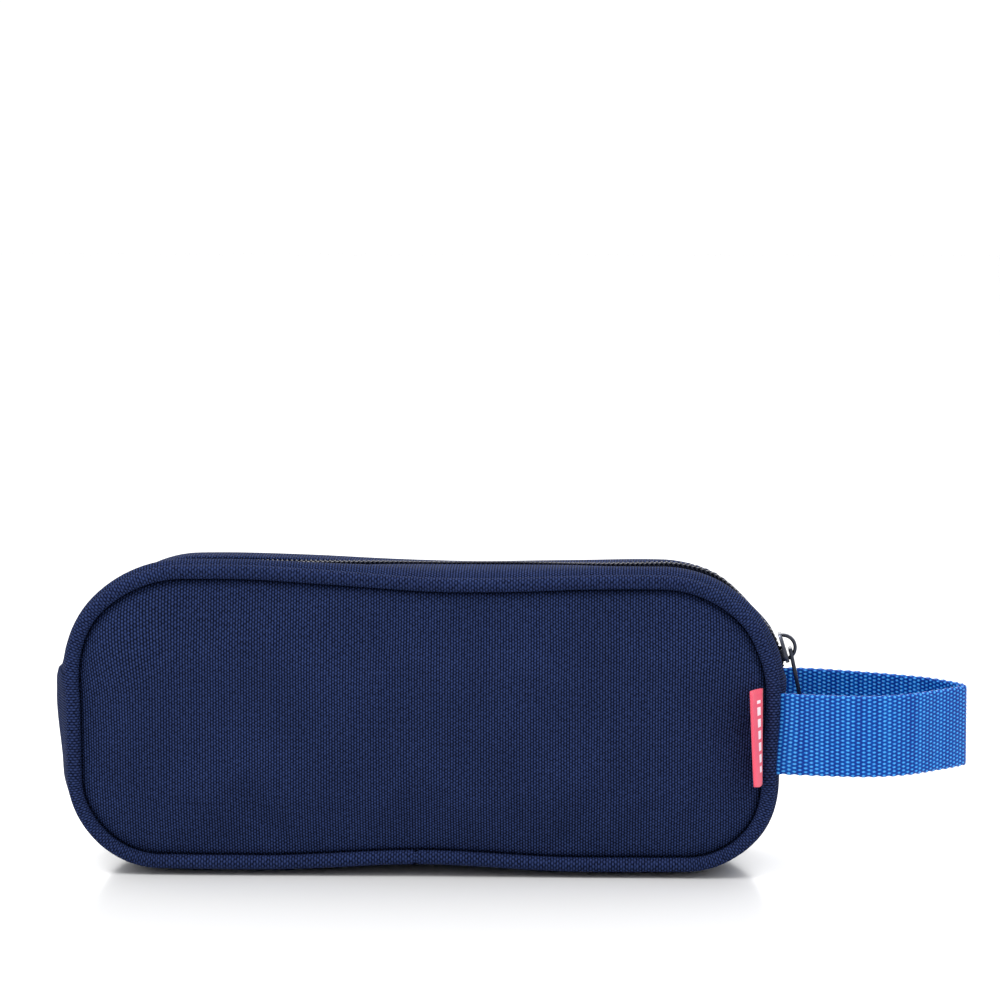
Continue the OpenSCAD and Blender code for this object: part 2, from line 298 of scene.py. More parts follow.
def mirrored(profile):
    return [(u, -v) for u, v in profile][::-1]


def sweep(name, start, end, spacing, profile, mat, tube=True, loop=False, warp=None, soft=True, turn=0.0):
    # a closed section carried along the outline; its UV map is the cloth's own length and width in metres
    count = max(2, round((end - start) / spacing))
    stops = [start + (end - start) * i / count for i in range(count + (0 if loop else 1))]
    rows = len(profile)
    along = [0.0]
    for a, b in zip(profile, profile[1:] + profile[:1]):
        along.append(along[-1] + math.dist(a, b) * 0.001)
    points = []
    for s in stops:
        for u, v in profile:
            if warp:
                u, v = warp(s, u, v)
            point = place(s, u, v)
            points.append(settle(point) if soft else point)
    faces, uvs = [], []
    step = (end - start) / count
    for i in range(len(stops) if loop else len(stops) - 1):
        for j in range(rows if tube else rows - 1):
            a, b, c, d = i, (i + 1) % len(stops), j, (j + 1) % rows
            faces.append((a * rows + c, a * rows + d, b * rows + d, b * rows + c))
            s0, s1 = stops[i], stops[i] + step
            uvs += [(s0, along[j]), (s0, along[j + 1]), (s1, along[j + 1]), (s1, along[j])]
    if tube and not loop:
        last = (len(stops) - 1) * rows
        for corners, flat in ((list(range(rows - 1, -1, -1)), 0), (list(range(last, last + rows)), last)):
            faces.append(tuple(corners))
            uvs += [(along[k - flat], 0.0) for k in corners]
    return makeObject(name, points, faces, uvs, mat)


def ring(u, v, radius, sides):
    angles = [-2 * math.pi * k / sides for k in range(sides)]
    return [(u + radius * math.cos(angle), v + radius * math.sin(angle)) for angle in angles]


# cloth and metal finishes
def weave(mat, along, across, ridge=0.6, wobble=0.0):
    # threads raised in staggered columns: the order repeats after along and across, in mm, and ridge is how
    # far the columns stand out as lines
    spot = addNode(mat, "ShaderNodeUVMap", uv_map="threads").outputs["UV"]
    if wobble:
        drift = addNode(mat, "ShaderNodeTexNoise", {"Scale": 260.0, "Detail": 1.0}, {"Vector": spot})
        moved = addNode(mat, "ShaderNodeVectorMath", {1: (0.5, 0.5, 0.5)}, {0: drift.outputs["Color"]},
                        operation="SUBTRACT")
        small = addNode(mat, "ShaderNodeVectorMath", {3: wobble * 0.001}, {0: moved.outputs[0]},
                        operation="SCALE")
        shifted = addNode(mat, "ShaderNodeVectorMath", None, {0: spot, 1: small.outputs[0]}, operation="ADD")
        spot = shifted.outputs[0]
    rates = (2000 * math.pi / along, 2000 * math.pi / across, 0)
    turns = addNode(mat, "ShaderNodeVectorMath", {1: rates}, {0: spot}, operation="MULTIPLY")
    parts = addNode(mat, "ShaderNodeSeparateXYZ", None, {0: turns.outputs[0]})
    double = addNode(mat, "ShaderNodeMath", {1: 2.0}, {0: parts.outputs[0]}, operation="MULTIPLY")
    waves = [addNode(mat, "ShaderNodeMath", None, {0: turn}, operation="COSINE").outputs[0]
             for turn in (parts.outputs[0], parts.outputs[1], double.outputs[0])]
    dots = addNode(mat, "ShaderNodeMath", None, {0: waves[0], 1: waves[1]}, operation="MULTIPLY")
    lines = addNode(mat, "ShaderNodeMath", {1: ridge}, {0: waves[2], 2: dots.outputs[0]},
                    operation="MULTIPLY_ADD")
    level = addNode(mat, "ShaderNodeMath", {1: 1 / (1 + ridge)}, {0: lines.outputs[0]}, operation="MULTIPLY")
    return level.outputs[0]


# each cloth's darker colour is painted shade in the gaps between its threads, and its lighter colour a painted
# highlight on their crowns
def clothMaterial(name, look):
    mat, shader = startMaterial(name, Roughness=look["rough"], Specular_IOR_Level=look["specular"],
                                Sheen_Weight=look["sheen"], Sheen_Roughness=0.45,
                                Sheen_Tint=hexLinear(look["sheenTint"]))
    threads = weave(mat, look["along"], look["across"], look.get("ridge", 0.5), look.get("wobble", 0.0))
    spot = addNode(mat, "ShaderNodeUVMap", uv_map="threads").outputs["UV"]
    raised = addNode(mat, "ShaderNodeMapRange", {1: look.get("floor", -1.0), 2: 1.0}, {0: threads},
                     interpolation_type="SMOOTHSTEP")
    yarn = addNode(mat, "ShaderNodeTexNoise", {"Scale": 900.0, "Detail": 2.0}, {"Vector": spot})
    cloudy = addNode(mat, "ShaderNodeTexNoise", {"Scale": 45.0, "Detail": 3.0}, {"Vector": spot})
    uneven = addNode(mat, "ShaderNodeMapRange", {1: 0.3, 2: 0.7, 3: -look["patchy"], 4: look["patchy"]},
                     {0: yarn.outputs["Fac"]})
    lift = addNode(mat, "ShaderNodeMath", None, {0: raised.outputs[0], 1: uneven.outputs[0]}, operation="ADD",
                   use_clamp=True)
    # painted shade and highlight: the colour runs from the darker shade in the gaps between the threads to the
    # lighter highlight on their crowns
    colour = addNode(mat, "ShaderNodeMix", {6: hexLinear(look["shadedValley"]), 7: hexLinear(look["crown"])},
                     {0: lift.outputs[0]}, data_type="RGBA")
    shade = addNode(mat, "ShaderNodeMapRange", {1: 0.3, 2: 0.7, 3: 0.9, 4: 1.1}, {0: cloudy.outputs["Fac"]})
    toned = addNode(mat, "ShaderNodeVectorMath", None, {0: colour.outputs[2], 3: shade.outputs[0]},
                    operation="SCALE")
    mat.node_tree.links.new(toned.outputs[0], shader.inputs["Base Color"])
    height = addNode(mat, "ShaderNodeMath", None, {0: raised.outputs[0], 1: shade.outputs[0]},
                     operation="MULTIPLY")
    bump = addNode(mat, "ShaderNodeBump", {"Strength": look["strength"], "Distance": look["relief"] * 0.001},
                   {"Height": height.outputs[0]})
    mat.node_tree.links.new(bump.outputs[0], shader.inputs["Normal"])
    return mat


# 600-denier polyester oxford, piece-dyed navy: a dry, faintly glinting cloth of small staggered dots, the glint a
# painted highlight on each dot's crown and the gaps between the dots painted shade
canvas = clothMaterial("navyOxfordPolyester", {
    "shadedValley": "#070B1B", "crown": "#2F3E6B", "floor": -0.6, "along": 1.69, "across": 1.0, "ridge": 0.85,
    "wobble": 0.14, "patchy": 0.14, "rough": 0.8, "specular": 0.03, "sheen": 0.01, "sheenTint": "#5F70B8",
    "strength": 0.7, "relief": 0.2})
# the same oxford cut on the bias round the cord: its threads show as fine ribs across the roll
biasCanvas = clothMaterial("navyOxfordOnTheBias", {
    "shadedValley": "#050817", "crown": "#2D3B66", "floor": -0.8, "along": 1.7, "across": 1.5, "ridge": 0.8,
    "wobble": 0.25, "patchy": 0.18, "rough": 0.8, "specular": 0.03, "sheen": 0.01, "sheenTint": "#5F70B8",
    "strength": 0.7, "relief": 0.2})
# 210-denier nylon lining: thin, smooth and slightly shiny, its weave drawn a third coarser so that it shows
lining = clothMaterial("slateNylonTaffeta", {
    "shadedValley": "#12172E", "crown": "#232B50", "along": 0.6, "across": 0.6, "patchy": 0.08,
    "rough": 0.5, "specular": 0.25, "sheen": 0.05, "sheenTint": "#8090C0", "strength": 0.35, "relief": 0.08})
# polyester herringbone binding tape: flat and matt, with a ribbed edge-to-edge texture
bindingCloth = clothMaterial("navyPolyesterBinding", {
    "shadedValley": "#0C1128", "crown": "#19234A", "along": 0.8, "across": 1.6, "patchy": 0.1,
    "rough": 0.75, "specular": 0.3, "sheen": 0.03, "sheenTint": "#6F7FC0", "strength": 0.5, "relief": 0.14})
# woven polyester zip tape: dense and smooth, a shade darker than the canvas
tapeCloth = clothMaterial("navyZipTape", {
    "shadedValley": "#0A0F26", "crown": "#182148", "along": 0.8, "across": 1.0, "patchy": 0.1,
    "rough": 0.7, "specular": 0.1, "sheen": 0.03, "sheenTint": "#6F7FC0", "strength": 0.5, "relief": 0.12})
# spun polyester sewing thread: twisted, slightly lighter than the cloth it sinks into
threadCloth = clothMaterial("navySewingThread", {
    "shadedValley": "#0D1430", "crown": "#222F62", "along": 0.5, "across": 0.9, "patchy": 0.1,
    "rough": 0.6, "specular": 0.35, "sheen": 0.03, "sheenTint": "#7F8FD0", "strength": 0.4, "relief": 0.08})
# twisted cotton filler cord, undyed
cordCotton = clothMaterial("undyedCottonCord", {
    "shadedValley": "#B9B4A6", "crown": "#E4E0D4", "along": 1.6, "across": 2.4, "patchy": 0.1,
    "rough": 0.85, "specular": 0.2, "sheen": 0.15, "sheenTint": "#FFFFFF", "strength": 0.6, "relief": 0.2})


def foamMaterial():
    # open-cell polyurethane foam sheet: pale grey, matt, pitted with half-millimetre cells, each cell's hollow
    # darkened with painted shade
    mat, shader = startMaterial("greyPolyurethaneFoam", Roughness=0.9, Specular_IOR_Level=0.2)
    spot = addNode(mat, "ShaderNodeTexCoord").outputs["Object"]
    cells = addNode(mat, "ShaderNodeTexVoronoi", {"Scale": 1800.0}, {"Vector": spot})
    # painted shade: the colour darkens into the hollow of each cell
    colour = addNode(mat, "ShaderNodeMix", {6: hexLinear("#8F8F8C"), 7: hexLinear("#D2D2CE")},
                     {0: cells.outputs["Distance"]}, data_type="RGBA")
    mat.node_tree.links.new(colour.outputs[2], shader.inputs["Base Color"])
    bump = addNode(mat, "ShaderNodeBump", {"Strength": 0.5, "Distance": 0.0002},
                   {"Height": cells.outputs["Distance"]})
    mat.node_tree.links.new(bump.outputs[0], shader.inputs["Normal"])
    return mat


def coilMaterial():
    # monofilament polyamide coil, dyed almost black: smooth plastic with small bright glints
    mat, shader = startMaterial("darkNylonCoil", IOR=1.53, Specular_IOR_Level=0.1)
    spot = addNode(mat, "ShaderNodeTexCoord").outputs["Object"]
    worn = addNode(mat, "ShaderNodeTexNoise", {"Scale": 700.0, "Detail": 2.0}, {"Vector": spot})
    colour = addNode(mat, "ShaderNodeMix", {6: hexLinear("#07090F"), 7: hexLinear("#141A30")},
                     {0: worn.outputs["Fac"]}, data_type="RGBA")
    mat.node_tree.links.new(colour.outputs[2], shader.inputs["Base Color"])
    rough = addNode(mat, "ShaderNodeMapRange", {3: 0.14, 4: 0.26}, {0: worn.outputs["Fac"]})
    mat.node_tree.links.new(rough.outputs[0], shader.inputs["Roughness"])
    return mat


def metalMaterial():
    # die-cast zinc with a gunmetal plating: dark, cool and fairly bright, lighter on its sharp edges
    mat, shader = startMaterial("gunmetalPlatedZinc", Metallic=1.0)
    spot = addNode(mat, "ShaderNodeTexCoord").outputs["Object"]
    cast = addNode(mat, "ShaderNodeTexNoise", {"Scale": 900.0, "Detail": 3.0}, {"Vector": spot})
    edges = addNode(mat, "ShaderNodeNewGeometry")
    # the colour is lighter where the casting's edges are sharp
    sharpEdges = addNode(mat, "ShaderNodeMapRange", {1: 0.52, 2: 0.62}, {0: edges.outputs["Pointiness"]})
    mixed = addNode(mat, "ShaderNodeMath", {1: 0.5}, {0: cast.outputs["Fac"], 2: sharpEdges.outputs[0]},
                    operation="MULTIPLY_ADD", use_clamp=True)
    colour = addNode(mat, "ShaderNodeMix", {6: hexLinear("#24262D"), 7: hexLinear("#5A5D68")},
                     {0: mixed.outputs[0]}, data_type="RGBA")
    mat.node_tree.links.new(colour.outputs[2], shader.inputs["Base Color"])
    rough = addNode(mat, "ShaderNodeMapRange", {3: 0.18, 4: 0.34}, {0: cast.outputs["Fac"]})
    mat.node_tree.links.new(rough.outputs[0], shader.inputs["Roughness"])
    bump = addNode(mat, "ShaderNodeBump", {"Strength": 0.15, "Distance": 0.00005},
                   {"Height": cast.outputs["Fac"]})
    mat.node_tree.links.new(bump.outputs[0], shader.inputs["Normal"])
    return mat


def barTackMaterial():
    # bonded polyester thread of the bar tacks: dark, dry and twisted, each twist lighter on its ridge with a
    # painted highlight and darker in its groove with painted shade
    mat, shader = startMaterial("navyBarTackThread", Roughness=0.7, Specular_IOR_Level=0.2)
    spot = addNode(mat, "ShaderNodeTexCoord").outputs["Object"]
    twist = addNode(mat, "ShaderNodeTexWave", {"Scale": 900.0, "Distortion": 1.5}, {"Vector": spot})
    # painted highlight and shade: the twist's ridges are coloured lighter and its grooves darker
    colour = addNode(mat, "ShaderNodeMix", {6: hexLinear("#070B1C"), 7: hexLinear("#1A2650")},
                     {0: twist.outputs["Fac"]}, data_type="RGBA")
    mat.node_tree.links.new(colour.outputs[2], shader.inputs["Base Color"])
    bump = addNode(mat, "ShaderNodeBump", {"Strength": 0.4, "Distance": 0.0001},
                   {"Height": twist.outputs["Fac"]})
    mat.node_tree.links.new(bump.outputs[0], shader.inputs["Normal"])
    return mat


# the webbing's colours: painted shade in the gaps between the yarns, the webbing's own blue, and a painted
# highlight on the yarns' crowns
webLook = {"shadedValley": "#002F86", "base": "#0462C0", "crown": "#4AA8F0", "columns": 3.15, "rows": 1.2,
           "ridge": 0.45}


def webbingMaterial():
    # polypropylene webbing in royal blue: fat, smooth, waxy yarns, the light they catch one by one painted as a
    # highlight on each crown, with painted shade in the gaps
    mat, shader = startMaterial("royalBluePolypropyleneWebbing", Roughness=0.36, IOR=1.49,
                                Specular_IOR_Level=0.15)
    threads = weave(mat, webLook["columns"], webLook["rows"], webLook["ridge"], 0.1)
    spot = addNode(mat, "ShaderNodeUVMap", uv_map="threads").outputs["UV"]
    raised = addNode(mat, "ShaderNodeMapRange", {1: -0.6, 2: 0.85}, {0: threads},
                     interpolation_type="SMOOTHSTEP")
    fibres = addNode(mat, "ShaderNodeTexNoise", {"Scale": 1500.0, "Detail": 2.0}, {"Vector": spot})
    uneven = addNode(mat, "ShaderNodeMapRange", {1: 0.3, 2: 0.7, 3: -0.12, 4: 0.12},
                     {0: fibres.outputs["Fac"]})
    # the colour is a little lighter and darker in soft bars across the webbing
    barSpot = addNode(mat, "ShaderNodeVectorMath", {1: (240.0, 14.0, 1.0)}, {0: spot}, operation="MULTIPLY")
    bars = addNode(mat, "ShaderNodeTexNoise", {"Scale": 1.0, "Detail": 1.0}, {"Vector": barSpot.outputs[0]})
    barred = addNode(mat, "ShaderNodeMapRange", {1: 0.3, 2: 0.7, 3: -0.16, 4: 0.1}, {0: bars.outputs["Fac"]})
    mixed = addNode(mat, "ShaderNodeMath", None, {0: uneven.outputs[0], 1: barred.outputs[0]},
                    operation="ADD")
    lift = addNode(mat, "ShaderNodeMath", None, {0: raised.outputs[0], 1: mixed.outputs[0]}, operation="ADD",
                   use_clamp=True)
    # the ramp runs from painted shade in the gaps through the webbing's blue to a painted highlight on the crowns
    colour = addNode(mat, "ShaderNodeValToRGB", None, {0: lift.outputs[0]})
    stops = colour.color_ramp.elements
    stops[0].color, stops[1].color = hexLinear(webLook["shadedValley"]), hexLinear(webLook["crown"])
    stops.new(0.5).color = hexLinear(webLook["base"])
    mat.node_tree.links.new(colour.outputs[0], shader.inputs["Base Color"])
    bump = addNode(mat, "ShaderNodeBump", {"Strength": 0.8, "Distance": 0.0004},
                   {"Height": raised.outputs[0]})
    mat.node_tree.links.new(bump.outputs[0], shader.inputs["Normal"])
    return mat


# the label's row of dashes, in metres from its sewn edge and from its lower end
dashes = {"row": 0.0031, "half": 0.0014, "pitch": 0.0036, "long": 0.0025, "low": 0.0042, "high": 0.0262}


def labelMaterial():
    # damask-woven polyester label: coral ground, close cross ribs with a painted highlight on their tops and
    # painted shade between them, and a plain row of white dashes
    mat, shader = startMaterial("coralWovenLabel", Roughness=0.6, Sheen_Weight=0.15)
    spot = addNode(mat, "ShaderNodeUVMap", uv_map="threads").outputs["UV"]
    parts = addNode(mat, "ShaderNodeSeparateXYZ", None, {0: spot})
    ribs = weave(mat, 0.7, 0.9, 0.3)
    raised = addNode(mat, "ShaderNodeMapRange", {1: -1.0, 2: 1.0}, {0: ribs})
    # the ground's two corals are painted shade between the ribs and a painted highlight on their tops
    ground = addNode(mat, "ShaderNodeMix", {6: hexLinear("#E03A56"), 7: hexLinear("#F95C76")},
                     {0: raised.outputs[0]}, data_type="RGBA")
    offCentre = addNode(mat, "ShaderNodeMath", {1: dashes["row"]}, {0: parts.outputs[0]},
                        operation="SUBTRACT")
    band = addNode(mat, "ShaderNodeMath", None, {0: offCentre.outputs[0]}, operation="ABSOLUTE")
    steps = addNode(mat, "ShaderNodeMath", {1: dashes["pitch"]}, {0: parts.outputs[1]}, operation="MODULO")
    tests = [(band.outputs[0], "LESS_THAN", "half"), (steps.outputs[0], "LESS_THAN", "long"),
             (parts.outputs[1], "GREATER_THAN", "low"), (parts.outputs[1], "LESS_THAN", "high")]
    inside = [addNode(mat, "ShaderNodeMath", {1: dashes[limit]}, {0: value}, operation=test).outputs[0]
              for value, test, limit in tests]
    mark = inside[0]
    for part in inside[1:]:
        mark = addNode(mat, "ShaderNodeMath", None, {0: mark, 1: part}, operation="MULTIPLY").outputs[0]
    colour = addNode(mat, "ShaderNodeMix", {7: hexLinear("#FFE9EC")}, {0: mark, 6: ground.outputs[2]},
                     data_type="RGBA")
    mat.node_tree.links.new(colour.outputs[2], shader.inputs["Base Color"])
    bump = addNode(mat, "ShaderNodeBump", {"Strength": 0.4, "Distance": 0.0001},
                   {"Height": raised.outputs[0]})
    mat.node_tree.links.new(bump.outputs[0], shader.inputs["Normal"])
    return mat


foam, coilNylon, gunmetal = foamMaterial(), coilMaterial(), metalMaterial()
webbing, coralLabel, barTack = webbingMaterial(), labelMaterial(), barTackMaterial()
print("finishes made")


def rideOn(piece, where):
    if where == "front":
        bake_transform(piece)
    else:
        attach(piece, where)


def fit(piece, where, slot, *nodes):
    rideOn(piece, where)
    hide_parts(*nodes)
    return piece


# padded panels: canvas, foam and lining, cut to the outline inside the piping; the edge's rings are (inset from
# the widest line, distance forward) in mm, and the first of them are sewn
panel = {"cells": (94, 36), "dome": 0.5, "sewn": 4, "pressure": 2.2, "slack": -0.012, "cap": 0.0016,
         "frames": 20, "canvas": 1.0, "foam": 2.6, "lining": 0.6, "gap": 0.1,
         "edge": [(5.95, 26.5), (6.0, 27.0), (6.3, 27.65), (7.1, 28.35), (8.6, 29.15), (11.0, 29.95),
                  (14.0, 30.55), (17.5, 31.0), (21.0, 31.2)]}


def panelStops():
    across, up = panel["cells"]
    low, high = walk[0] + walk[1] / 2, startAt[3] + walk[3] / 2
    corners = [-low, low, high, ringLength - high, ringLength - low]
    stops = []
    for a, b, cells in zip(corners, corners[1:], (across, up, across, up)):
        stops += [a + (b - a) * k / cells for k in range(cells)]
    return stops


def panelSurface():
    across, up = panel["cells"]
    stops = panelStops()
    count = len(stops)
    points, flat = [], []
    for inset, v in panel["edge"]:
        points += [place(s, -inset, v) for s in stops]
    base = (len(panel["edge"]) - 1) * count
    rim = [np.array(points[base + k]) for k in range(count)]

    def rimAt(i, j):
        if j == 0:
            return i
        if i == across:
            return across + j
        if j == up:
            return across + up + (across - i)
        return (2 * across + up + (up - j)) % count

    index = {}
    for i in range(across + 1):
        for j in range(up + 1):
            if i in (0, across) or j in (0, up):
                index[i, j] = base + rimAt(i, j)
                continue
            a, b = i / across, j / up
            low, high = rim[rimAt(i, 0)], rim[rimAt(i, up)]
            left, right = rim[rimAt(0, j)], rim[rimAt(across, j)]
            lowCorners = (1 - a) * (1 - b) * rim[rimAt(0, 0)] + a * (1 - b) * rim[rimAt(across, 0)]
            highCorners = a * b * rim[rimAt(across, up)] + (1 - a) * b * rim[rimAt(0, up)]
            spot = (1 - b) * low + b * high + (1 - a) * left + a * right - (lowCorners + highCorners)
            spot[1] -= panel["dome"] * 0.001 * (math.sin(math.pi * a) * math.sin(math.pi * b)) ** 0.5
            index[i, j] = len(points)
            points.append(tuple(spot))
    faces = []
    for r in range(len(panel["edge"]) - 1):
        for k in range(count):
            n = (k + 1) % count
            faces.append((r * count + k, r * count + n, (r + 1) * count + n, (r + 1) * count + k))
    for i in range(across):
        for j in range(up):
            faces.append((index[i, j], index[i + 1, j], index[i + 1, j + 1], index[i, j + 1]))
    return points, faces, count


def relaxCloth(points, faces, held):
    # the canvas is let go between its sewn edges with a little air behind it, so it swells as sewn cloth does
    piece = makeObject("relaxing", points, faces, None, canvas)
    group = piece.vertex_groups.new(name="sewn")
    group.add(list(range(held)), 1.0, "REPLACE")
    modifier = piece.modifiers.new("cloth", "CLOTH")
    cloth = modifier.settings
    cloth.quality, cloth.mass = 6, 0.1
    cloth.tension_stiffness = cloth.compression_stiffness = 18
    cloth.shear_stiffness, cloth.bending_stiffness = 6, 1.2
    cloth.use_pressure, cloth.uniform_pressure_force = True, panel["pressure"]
    cloth.shrink_min = cloth.shrink_max = panel["slack"]
    cloth.vertex_group_mass = "sewn"
    cloth.effector_weights.gravity = 0
    modifier.collision_settings.use_collision = False
    scene = bpy.context.scene
    for n in range(1, panel["frames"] + 1):
        scene.frame_set(n)
        graph = bpy.context.evaluated_depsgraph_get()
        graph.update()
    seen = piece.evaluated_get(graph).to_mesh()
    moved = np.array([v.co[:] for v in seen.vertices])
    scene.frame_set(1)
    bpy.data.objects.remove(piece)
    rest = np.array(points)
    shift = moved - rest
    size = np.linalg.norm(shift, axis=1, keepdims=True)
    return rest + shift * np.minimum(1, panel["cap"] / np.maximum(size, 1e-9))


source, panelFaces, panelCount = panelSurface()


def panelLayer(name, surface, used, drop, thick, turned, mat, fine):
    # the relaxed surface without its first used points, given a thickness; turned is -1 for the back
    top = [settle((x, (y + drop * 0.001) * turned, z)) for x, y, z in surface[used:]]
    under = [settle((x, (y + (drop + thick) * 0.001) * turned, z)) for x, y, z in surface[used:]]
    size = len(top)
    sheetFaces = [tuple(k - used for k in f) for f in panelFaces if min(f) >= used]
    allFaces = [f[::turned] for f in sheetFaces] + [tuple(k + size for k in f)[::-turned] for f in sheetFaces]
    for k in range(panelCount):
        n = (k + 1) % panelCount
        allFaces.append((k, k + size, n + size, n)[::turned])
    spots = [(x * turned, z) for x, y, z in source[used:]] * 2
    piece = makeObject(name, top + under, allFaces, [spots[k] for f in allFaces for k in f], mat)
    if fine:
        smooth = piece.modifiers.new("fine", "SUBSURF")
        smooth.levels = smooth.render_levels = 1
        applyModifiers(piece)
    return piece


panelLayers = [
    # piece, CAD node, slot, finish, first ring of the edge that it has, subdivided
    ("Panel", "panel", "canvas", canvas, 0, True),
    ("Foam", "foam", "foam", foam, 3, False),
    ("Lining", "lining", "lining", lining, 5, False),
]
for side, turned in (("front", 1), ("back", -1)):
    relaxed = relaxCloth(source, panelFaces, panel["sewn"] * panelCount)
    halves = ["front_{}_lower", "front_{}_upper"] if turned > 0 else ["back_{}"]
    drop, made = 0.0, []
    for ending, node, slotName, finish, firstRing, fine in panelLayers:
        thick = panel[slotName]
        piece = panelLayer(side + ending, relaxed, firstRing * panelCount, drop, thick, turned, finish, fine)
        fit(piece, "front" if turned > 0 else "case", slotName, *[half.format(node) for half in halves])
        made.append(piece)
        drop += thick + panel["gap"]
print("panels sewn and relaxed")

# piping: a bias strip rolled round a cord, its two ends butted under the case
piping = {"u": -3.6, "v": 28.4, "radius": 2.2, "cord": 1.35, "join": -0.0022, "dent": 0.3, "butt": 0.0005,
          "lumps": 0.02}
bindingEdge = [(-7.4, 23.0), (-7.6, 22.7), (-8.0, 22.6), (-11.0, 22.5), (-14.0, 22.6), (-14.3, 22.9),
               (-14.4, 23.5), (-14.3, 24.1), (-14.0, 24.4), (-11.0, 24.5), (-8.0, 24.4), (-7.5, 24.1),
               (-7.4, 23.5)]


def pipingWarp(sign):
    def warp(s, u, v):
        away = abs(((s - piping["join"] + ringLength / 2) % ringLength) - ringLength / 2)
        dent = 1 - piping["dent"] * math.exp(-(away / piping["butt"]) ** 2)
        size = dent * (1 + piping["lumps"] * noise.noise(Vector((s * 90, sign, 3.1))))
        return piping["u"] + (u - piping["u"]) * size, sign * (piping["v"] + (v * sign - piping["v"]) * size)
    return warp


for side, sign in (("front", 1), ("back", -1)):
    halves = ["front_{}_lower", "front_{}_upper"] if sign > 0 else ["back_{}"]
    body = "front" if sign > 0 else "case"
    roll = ring(piping["u"], sign * piping["v"], piping["radius"], 18)
    cover = sweep(side + "Piping", piping["join"], piping["join"] + ringLength, 0.0011, roll, biasCanvas,
                  loop=True, warp=pipingWarp(sign))
    fit(cover, body, "piping", *[half.format("piping") for half in halves])
    core = ring(piping["u"], sign * piping["v"], piping["cord"], 10)
    cord = sweep(side + "PipingCord", 0.0, ringLength, 0.003, core, cordCotton, loop=True)
    fit(cord, body, "piping_cord", *[half.format("piping_cord") for half in halves])
    section = bindingEdge if sign > 0 else [(u, -v) for u, v in bindingEdge[::-1]]
    bound = sweep(side + "Binding", 0.0, ringLength, 0.002, section, bindingCloth, loop=True)
    fit(bound, body, "binding", *[half.format("binding") for half in halves])
print("piping and binding made")

# gusset: one strip round the bottom and both ends, seamed to the zip panel at the folds
gusset = {"hem": 0.0009, "rise": 0.55, "wave": 0.5, "canvas": 1.0, "lining": 0.5, "gap": 0.1}
gussetEdge = [(-7.6, 26.05), (-5.4, 26.05), (-3.8, 25.95), (-2.6, 25.3), (-1.62, 24.4), (-0.94, 23.2),
              (-0.4, 21.8), (-0.1, 20.4), (0.0, 19.0)]
gussetMiddle = [(0.0, v) for v in (16, 13, 10, 7, 4, 1.5, -1.5, -4, -7, -10, -13, -16)]
gussetLine = gussetEdge + gussetMiddle + mirrored(gussetEdge)


def gussetWarp(s, u, v):
    # the top hem is folded over the zip panel's end, and the cloth waves a little between its seams
    near = min(abs(s - foldRight), abs(s + foldRight))
    rise = gusset["rise"] * ramp(0.006, 0.0, near)
    free = ramp(26, 18, abs(v)) * ramp(0.006, 0.03, station(s)[1])
    wave = gusset["wave"] * noise.noise(Vector((s * 28, v * 0.06, 1.7))) * free
    return u + rise * ramp(26.5, 24, abs(v)) + wave, v


hem = gusset["hem"]
lowerGusset = sweep("lowerGusset", -foldRight - hem, foldRight + hem, 0.0022,
                    gussetLine + inner(gussetLine, gusset["canvas"]), canvas, warp=gussetWarp)
fit(lowerGusset, "case", "canvas", "lower_gusset")
liningLine = [(u - gusset["canvas"] - gusset["gap"], v) for u, v in gussetLine[3:-3]]
gussetLining = sweep("gussetLining", -foldRight + 0.001, foldRight - 0.001, 0.0044,
                     liningLine + inner(liningLine, gusset["lining"]), lining, warp=gussetWarp)
fit(gussetLining, "case", "lining", "gusset_lining")
print("gusset made")

# zip panel: two folded canvas strips with the zip tape under them, and the coils sewn along the tape's edges
zipper = {"pitch": 1.5, "wire": 0.37, "reach": 2.7, "inner": -0.3, "low": -1.05, "high": 1.0, "slant": 0.5,
          "seam": 0.0006, "proud": {"front": 0.45, "back": 0.1}, "wave": 0.34, "ripple": 0.1}
stripOver = [(0.02, 16.5), (0.02, 14.0), (0.0, 12.2), (-0.08, 11.2), (0.02, 10.4), (0.0, 9.7), (-0.14, 9.25),
             (-0.5, 9.0)]
stripUnder = [(-0.86, 9.25), (-1.0, 9.7), (-1.02, 10.4), (-1.02, 12.2), (-1.02, 16.5)]
stripSection = gussetEdge + stripOver + stripUnder + inner(gussetEdge, gusset["canvas"])
tapeSection = [(-1.12, v) for v in (15.5, 13.0, 10.0, 7.0, 5.0, 3.0, 1.6, 0.45)]
tapeSection += [(-1.7, v) for v in (0.45, 3.0, 7.0, 10.0, 15.5)]


def stripWarp(s, u, v):
    # the strip waves along its free folded edge and stands a little proud between its seam and the zip
    away = abs(v)
    wave = zipper["wave"] * noise.noise(Vector((s * 60, 0.3 if v > 0 else 5.1, 0.0)))
    wave += zipper["ripple"] * noise.noise(Vector((s * 240, 2.0, 0.0)))
    free = ramp(20, 9, away)
    proud = zipper["proud"]["front" if v > 0 else "back"] * ramp(24, 15, away)
    proud *= ramp(0.0, 0.009, min(s - foldRight, foldLeft - s))
    return u + proud + 0.25 * wave * free, v + math.copysign(wave * free, v)


for side, sign in (("front", 1), ("back", -1)):
    body = "front" if sign > 0 else "case"
    start, end = foldRight - zipper["seam"], foldLeft + zipper["seam"]
    section = stripSection if sign > 0 else mirrored(stripSection)
    strip = sweep(side + "ZipStrip", start, end, 0.0022, section, canvas, warp=stripWarp)
    fit(strip, body, "canvas", side + "_zip_strip")
    section = tapeSection if sign > 0 else mirrored(tapeSection)
    tape = sweep(side + "ZipTape", start, end, 0.0022, section, tapeCloth)
    fit(tape, body, "zip_tape", side + "_zip_tape")


